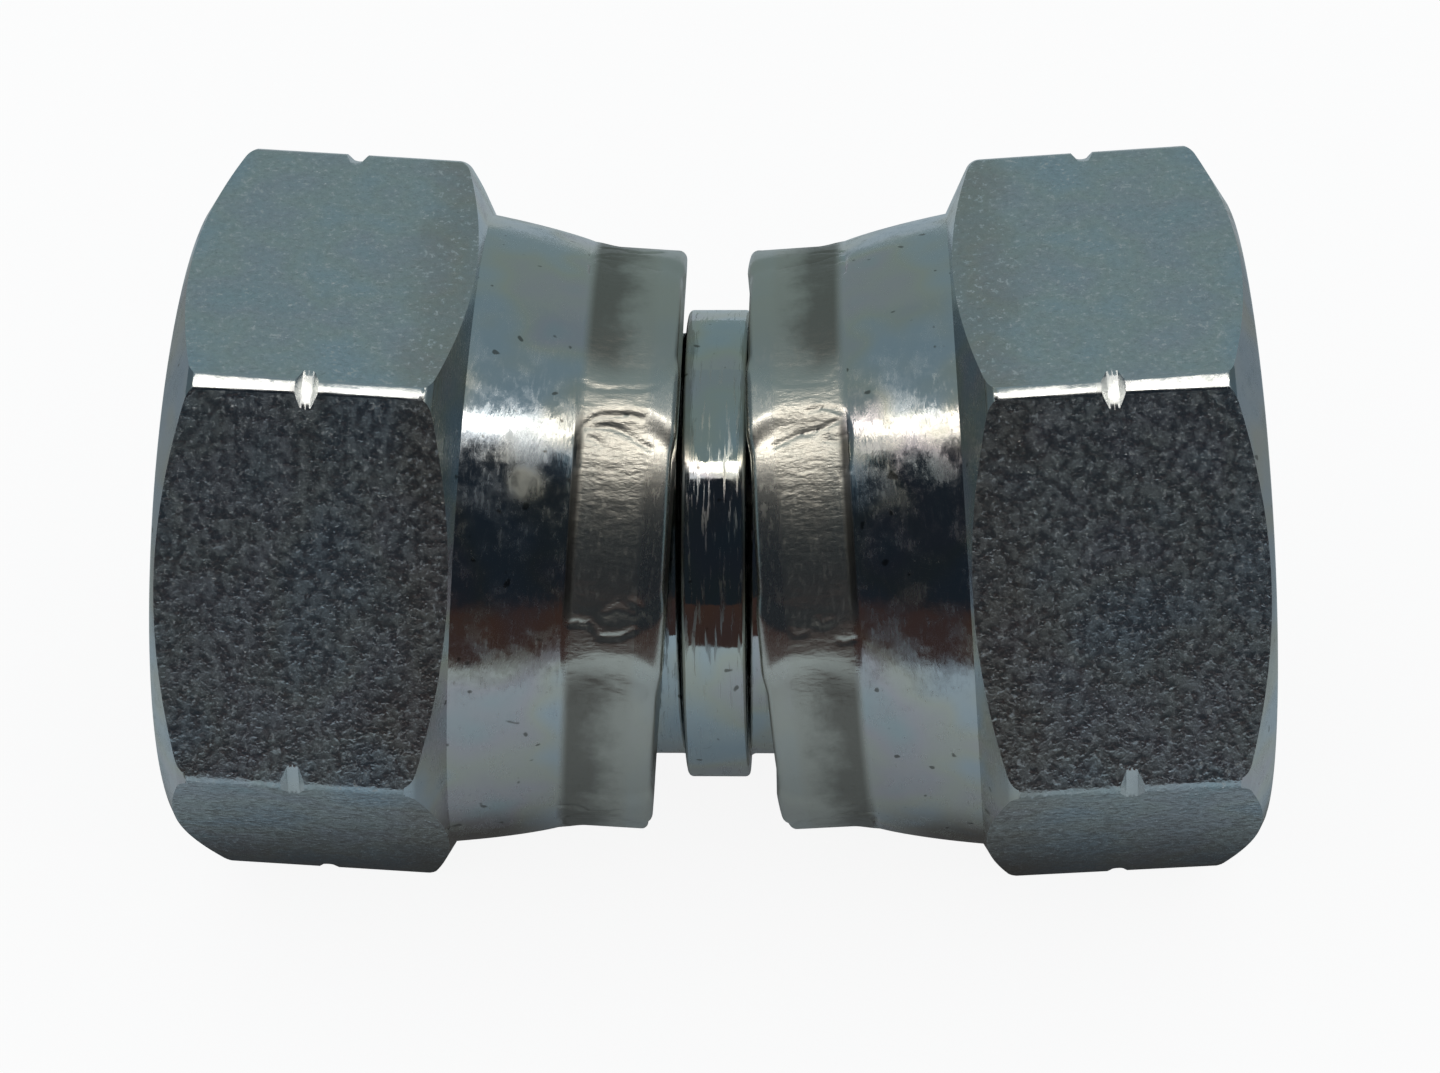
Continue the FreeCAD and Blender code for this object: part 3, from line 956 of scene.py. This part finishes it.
def finish_off(tree, colour, coats, roughness, reliefs):
    """The metal itself. Coats are (share, colour) laid over the first colour. Reliefs are (depth in mm, pattern)."""
    for share, code in coats:
        colour = add(tree, "ShaderNodeMix", {0: share, 6: colour, 7: linear(code)}, data_type="RGBA")
    look = {"Base Color": colour, "Metallic": 1.0, "Roughness": roughness}
    relief = {}
    for depth, height in reliefs:
        relief = {"Normal": add(tree, "ShaderNodeBump", {"Distance": depth * MM, "Height": height, **relief})}
    add(tree, "ShaderNodeOutputMaterial", {"Surface": add(tree, "ShaderNodeBsdfPrincipled", {**look, **relief})})


# %% [markdown]
# ## Zinc plate with a clear passivate
#
# The steel is electroplated with bright zinc and dipped in a blue passivate. Zinc alone is a bluish grey, and the
# clear film over it is so thin that it shows faint patches of yellow, pink and blue, a few millimetres wide. Every
# finish on the outside starts from this colour. The patches are a slow noise that picks its colour on a ramp.

# %% The colour of the plate
FILM_PATCH = 1 / 0.22
FILM_COLOURS = [(0.25, "#B4C3D2"), (0.40, "#C6CDD2"), (0.50, "#CFCCC0"), (0.60, "#CDC5C8"), (0.75, "#B9C8CB")]


def passivate(tree, own, strength, bare="#C3C9CC"):
    """Zinc with the faint colours of its clear film. Strength says how much of the film's colour shows."""
    slow = add(tree, "ShaderNodeTexNoise", {"Vector": own, "Scale": 1 / FILM_PATCH, "Detail": 2.0, "Roughness": 0.55})
    film = add(tree, "ShaderNodeValToRGB", {"Fac": slow})
    while len(film.color_ramp.elements) < len(FILM_COLOURS):
        film.color_ramp.elements.new(0.5)
    for stop, (position, code) in zip(film.color_ramp.elements, FILM_COLOURS):
        stop.position = position
        stop.color = linear(code)
    return add(tree, "ShaderNodeMix", {0: strength, 6: linear(bare), 7: film}, data_type="RGBA")


# %% [markdown]
# ## Blasted flats
#
# The flats were left as forged, blasted and then plated. Blasting leaves soft dimples about 0.37 mm across, and
# bright zinc on them glitters. Seen against the dark side of the room they look charcoal with pale specks. Relief
# comes from two noises, coarse dimples and a finer grain of 0.2 mm. The highest grains are rougher and carry a painted
# glint of paler colour, the lowest are darker pits, and the end next to the skirt has a brownish film of dried oil.
#
# Every finish is made in the same three steps. Patterns come first. A table of Map Range nodes then turns them into
# smooth shares. Last, colours are laid over each other like coats, each with its share, and the patterns are pressed
# into the surface as relief, the coarse one first.

# %% Flats
DIMPLE = 1 / 2.7
DIMPLE_DEPTH = 0.07
GRAIN = 1 / 5.0
GRAIN_DEPTH = 0.045
OIL_PATCH = 1 / 0.3
OIL_WANDERS = 5.0
OIL_FULL = HEX_START + 3.2
OIL_GONE = HEX_START + 6.4


def blasted_flats(name, place, turned):
    """Bright zinc on a shot-blasted forging: soft glitter, charcoal where it faces the dark."""
    material, tree, own = plated(name, place, turned)
    dimples = add(tree, "ShaderNodeTexNoise", {"Vector": own, "Scale": 1 / DIMPLE, "Detail": 2.0, "Roughness": 0.6})
    grain = add(tree, "ShaderNodeTexNoise", {"Vector": own, "Scale": 1 / GRAIN, "Detail": 2.0, "Roughness": 0.6})
    along = add(tree, "ShaderNodeSeparateXYZ", {0: own}).outputs["X"]
    wander = add(tree, "ShaderNodeTexNoise", {"Vector": own, "Scale": 1 / OIL_PATCH, "Detail": 2.0})
    oil_edge = add(tree, "ShaderNodeMath", {0: wander, 1: OIL_WANDERS, 2: along}, operation="MULTIPLY_ADD")
    shares = add_each(tree, "ShaderNodeMapRange", SHARE, {
        "dull": (dimples, 0.36, 0.64, 0.46, 0.29),
        "painted_glints": (grain, 0.60, 0.68, 0.0, 1.0),
        "pits": (grain, 0.36, 0.52, 0.22, 0.0),
        "oil": (oil_edge, OIL_FULL, OIL_GONE, 0.42, 0.0),
    }, interpolation_type="SMOOTHSTEP")
    roughness = add(tree, "ShaderNodeMath", {0: shares["painted_glints"], 1: 0.17, 2: shares["dull"]}, operation="MULTIPLY_ADD")
    # The pale coat on the highest grains is a painted glint.
    coats = [(shares["pits"], "#9EA4A7"), (shares["oil"], "#B3A596"), (shares["painted_glints"], "#DFE3E5")]
    reliefs = [(DIMPLE_DEPTH, dimples), (GRAIN_DEPTH, grain)]
    finish_off(tree, passivate(tree, own, 0.5, "#C6D9E2"), coats, roughness, reliefs)
    return material


# %% [markdown]
# ## Blunt corners
#
# The corners were rolled and are then rubbed by every spanner, so they are the smoothest part of the hexagon and
# draw one hard bright line each. The small mark cut across each corner is out of reach and stays duller: the
# Compare setting of a Math node picks its place along the axis.

# %% Corners
DENT = 1 / 1.6
DENT_DEPTH = 0.012
MARK_REACH = 0.62


def rubbed_corners(name, place, turned):
    """Rubbed zinc: bright and smooth, with a few shallow dents along it."""
    material, tree, own = plated(name, place, turned)
    dents = add(tree, "ShaderNodeTexNoise", {"Vector": own, "Scale": 1 / DENT, "Detail": 3.0})
    along = add(tree, "ShaderNodeSeparateXYZ", {0: own}).outputs["X"]
    at_mark = add(tree, "ShaderNodeMath", {0: along, 1: MARK_PLACE, 2: MARK_REACH}, operation="COMPARE")
    shares = add_each(tree, "ShaderNodeMapRange", SHARE, {
        "dull": (dents, 0.3, 0.7, 0.16, 0.27),
    }, interpolation_type="SMOOTHSTEP")
    roughness = add(tree, "ShaderNodeMath", {0: at_mark, 1: 0.06, 2: shares["dull"]}, operation="MULTIPLY_ADD")
    finish_off(tree, passivate(tree, own, 0.6), [(0.6, "#DCE0E2")], roughness, [(DENT_DEPTH, dents)])
    return material


# %% [markdown]
# ## Turned cones and faces
#
# A turning tool leaves fine grooves round the axis, here about 0.15 mm apart, which the bright plate follows. They
# break a highlight into fine streaks that run round the piece. The noise varies quickly along the feed and slowly
# round it: 12 times slower on the body, where the grooves are fresh, and 3 times on the nuts, where handling wore
# them down. The plate also has a few dark pits. On the left nut a drop of water dried and left a pale blot, which
# is drawn by the distance from one place, with a noise added so that its rim is uneven.

# %% Turned parts
GROOVE = 1 / 6.5
GROOVE_DEPTH = 0.006
WAVE = 1 / 0.9
WAVE_DEPTH = 0.006
SMEAR = 1 / 0.8
SPECK = 1 / 1.7
SPOT_FULL = 1.05
SPOT_GONE = 1.6


def turned_plate(name, place, turned, polish, smears, streaks, rest, bare="#C2C7C8", spot=None):
    """Bright zinc over fine turning grooves. Polish is the roughness, and smears and streaks add to it."""
    material, tree, own = plated(name, place, turned)
    feed = tool_feed(tree, own, rest)
    lines = add(tree, "ShaderNodeTexNoise", {"Vector": feed, "Scale": 1 / GROOVE, "Detail": 3.0, "Roughness": 0.6})
    waves = add(tree, "ShaderNodeTexNoise", {"Vector": own, "Scale": 1 / WAVE, "Detail": 2.0})
    patches = add(tree, "ShaderNodeTexNoise", {"Vector": own, "Scale": 1 / SMEAR, "Detail": 5.0, "Roughness": 0.65})
    specks = add(tree, "ShaderNodeTexNoise", {"Vector": own, "Scale": 1 / SPECK, "Detail": 1.0})
    ranges = {
        "smears": (patches, 0.42, 0.62, polish, polish + smears),
        "streaks": (lines, 0.52, 0.68, 0.0, streaks),
        "pits": (specks, 0.71, 0.76, 0.0, 0.75),
    }
    if spot:
        away = add(tree, "ShaderNodeVectorMath", {0: own, 1: spot}, operation="DISTANCE")
        wobble = add(tree, "ShaderNodeMath", {0: patches, 1: 1.2, 2: away}, operation="MULTIPLY_ADD")
        ranges["blot"] = (wobble, SPOT_FULL, SPOT_GONE, 0.5, 0.0)
    shares = add_each(tree, "ShaderNodeMapRange", SHARE, ranges, interpolation_type="SMOOTHSTEP")
    roughness = add(tree, "ShaderNodeMath", {0: shares["smears"], 1: shares["streaks"]}, operation="ADD")
    coats = [(shares["pits"], "#5E5B54")]
    if spot:
        roughness = add(tree, "ShaderNodeMath", {0: shares["blot"], 1: 0.3, 2: roughness}, operation="MULTIPLY_ADD")
        coats.append((shares["blot"], "#D6D1BC"))
    reliefs = [(WAVE_DEPTH, waves), (GROOVE_DEPTH, lines)]
    finish_off(tree, passivate(tree, own, 0.85, bare), coats, roughness, reliefs)
    return material


# %% [markdown]
# ## The pressed collar
#
# The dies squeezed the plated collar. It looks creamier and duller than the cone beside it and is finely wrinkled,
# and the wrinkles are drawn out along the axis. A brownish film stays on it all round, stronger towards the inner
# border of the lands. Only the side that faces the camera is wiped clean: a dot product measures how far a place
# looks that way. On that clean land the seam next to the cone is rougher and painted near-black, which is painted
# shade in the seam. All of this fades out over half a millimetre into the turned cone, so one material paints both,
# and it gets weaker at the lip, where the dies pressed less.

# %% Pressed parts
WRINKLE = 1 / 2.8
WRINKLE_DEPTH = 0.035
DRAWN_OUT = 0.45
FILM_WANDER = 1 / 0.5
GROOVES_LEFT = 0.005
HALF_WAY_UP = 0.707


def pressed_plate(name, place, turned, clean_side):
    """Squeezed zinc: creamy and duller, with a brownish matt band and fine wrinkles, fading into a turned cone."""
    material, tree, own = plated(name, place, turned)
    feed = tool_feed(tree, own, 0.3)
    along = add(tree, "ShaderNodeSeparateXYZ", {0: own}).outputs["X"]
    wander = add(tree, "ShaderNodeTexNoise", {"Vector": own, "Scale": 1 / FILM_WANDER, "Detail": 4.0, "Roughness": 0.6})
    shifted = add(tree, "ShaderNodeMath", {0: wander, 1: 3.0, 2: along}, operation="MULTIPLY_ADD")
    clean_way = (0.0, clean_side * HALF_WAY_UP, HALF_WAY_UP)
    toward = add(tree, "ShaderNodeVectorMath", {0: own, 1: clean_way}, operation="DOT_PRODUCT")
    drawn = add(tree, "ShaderNodeVectorMath", {0: own, 1: (DRAWN_OUT, 1.0, 1.0)}, operation="MULTIPLY")
    wrinkles = add(tree, "ShaderNodeTexNoise", {"Vector": drawn, "Scale": 1 / WRINKLE, "Detail": 4.0, "Roughness": 0.6})
    lines = add(tree, "ShaderNodeTexNoise", {"Vector": feed, "Scale": 1 / GROOVE, "Detail": 3.0, "Roughness": 0.6})
    shares = add_each(tree, "ShaderNodeMapRange", SHARE, {
        "past_lip": (along, 0.9, 1.4, 0.75, 1.0),
        "gripped": (along, 0.9, 1.5, 0.15, 1.0),
        "before_cone": (along, 3.5, 4.0, 1.0, 0.0),
        "seam_start": (along, 3.5, 3.75, 0.0, 1.0),
        "seam_end": (along, 3.9, 4.0, 1.0, 0.0),
        "on_front": (toward, 11.6, 12.1, 0.0, 0.85),
        "not_wiped": (toward, 10.3, 11.3, 1.0, 0.15),
        "film": (shifted, 2.8, 4.5, 0.3, 0.8),
        "scratched": (lines, 0.52, 0.68, 0.0, 0.08),
    }, interpolation_type="SMOOTHSTEP")
    for share, first, second in (
        ("squeezed", "past_lip", "before_cone"),
        ("film_left", "film", "not_wiped"),
        ("stain", "film_left", "squeezed"),
        ("wrinkled", "gripped", "before_cone"),
        ("in_seam", "seam_start", "seam_end"),
        ("painted_seam_shade", "in_seam", "on_front"),
    ):
        shares[share] = add(tree, "ShaderNodeMath", {0: shares[first], 1: shares[second]}, operation="MULTIPLY")
    folds = add(tree, "ShaderNodeMath", {0: wrinkles, 1: shares["wrinkled"]}, operation="MULTIPLY")
    roughness = 0.13
    for share, more in (("squeezed", 0.16), ("painted_seam_shade", 0.3), ("stain", 0.16)):
        roughness = add(tree, "ShaderNodeMath", {0: shares[share], 1: more, 2: roughness}, operation="MULTIPLY_ADD")
    roughness = add(tree, "ShaderNodeMath", {0: roughness, 1: shares["scratched"]}, operation="ADD")
    # The near-black coat in the seam on the clean front land is painted shade.
    coats = [(shares["squeezed"], "#DEDBD1"), (shares["stain"], "#736D66"), (shares["painted_seam_shade"], "#35322F")]
    reliefs = [(WRINKLE_DEPTH, folds), (GROOVES_LEFT, lines)]
    finish_off(tree, passivate(tree, own, 0.85), coats, roughness, reliefs)
    return material


# %% [markdown]
# ## Inside the nut
#
# Plating is thin inside a thread and stays duller, and a trace of the machine's oil darkens it.

# %% Inside
BORE_LINE = 1 / 5.0
BORE_LINE_DEPTH = 0.004
OIL_TRACE = 1 / 0.5


def dull_inside(name, place, turned):
    """Thin dull zinc in a thread."""
    material, tree, own = plated(name, place, turned)
    feed = tool_feed(tree, own, 0.08)
    lines = add(tree, "ShaderNodeTexNoise", {"Vector": feed, "Scale": 1 / BORE_LINE, "Detail": 2.0})
    patches = add(tree, "ShaderNodeTexNoise", {"Vector": own, "Scale": 1 / OIL_TRACE, "Detail": 4.0})
    shares = add_each(tree, "ShaderNodeMapRange", SHARE, {
        "oil": (patches, 0.4, 0.65, 0.2, 0.9),
        "dull": (patches, 0.35, 0.65, 0.34, 0.5),
    }, interpolation_type="SMOOTHSTEP")
    oil_film = [(shares["oil"], "#807C74")]
    finish_off(tree, linear("#9BA1A3"), oil_film, shares["dull"], [(BORE_LINE_DEPTH, lines)])
    return material


# %% Give each nut its finishes
LEFT_SPOT = (5.65, 8.35, 9.85)

nuts = [(left_nut, "left_nut", 1.0, LEFT_SPOT), (right_nut, "right_nut", -1.0, None)]
for piece, body_name, clean_side, spot in nuts:
    stands = lip_places[body_name], nut_turns[body_name]
    finishes = {
        FLATS: blasted_flats(f"blasted_zinc_{body_name}", *stands),
        CORNERS: rubbed_corners(f"rubbed_zinc_{body_name}", *stands),
        TURNED: turned_plate(
            f"turned_zinc_{body_name}", *stands, polish=0.12, smears=0.15, streaks=0.09, rest=0.3, spot=spot
        ),
        PRESSED: pressed_plate(f"pressed_zinc_{body_name}", *stands, clean_side),
        INSIDE: dull_inside(f"dull_zinc_{body_name}", *stands),
    }
    for number, material in finishes.items():
        piece.data.materials[number] = material
    print(piece.name, "wears", [material.name for material in piece.data.materials])

body_plate = turned_plate(
    "turned_zinc_body", (0.0, 0.0, body_height * MM), (0.0, 0.0, 0.0),
    polish=0.03, smears=0.05, streaks=0.34, rest=0.08, bare="#A9C2BE",
)
body.data.materials.append(body_plate)
print(body.name, "wears", body_plate.name)

# %% [markdown]
# ## Hand the pieces over
#
# Each piece rides on the body that moves it and takes the place of its plain CAD solid, which is hidden.

# %% Ride and replace
for piece, body_name in ((body, "body"), (left_nut, "left_nut"), (right_nut, "right_nut")):
    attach(piece, body_name)
    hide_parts(body_name)
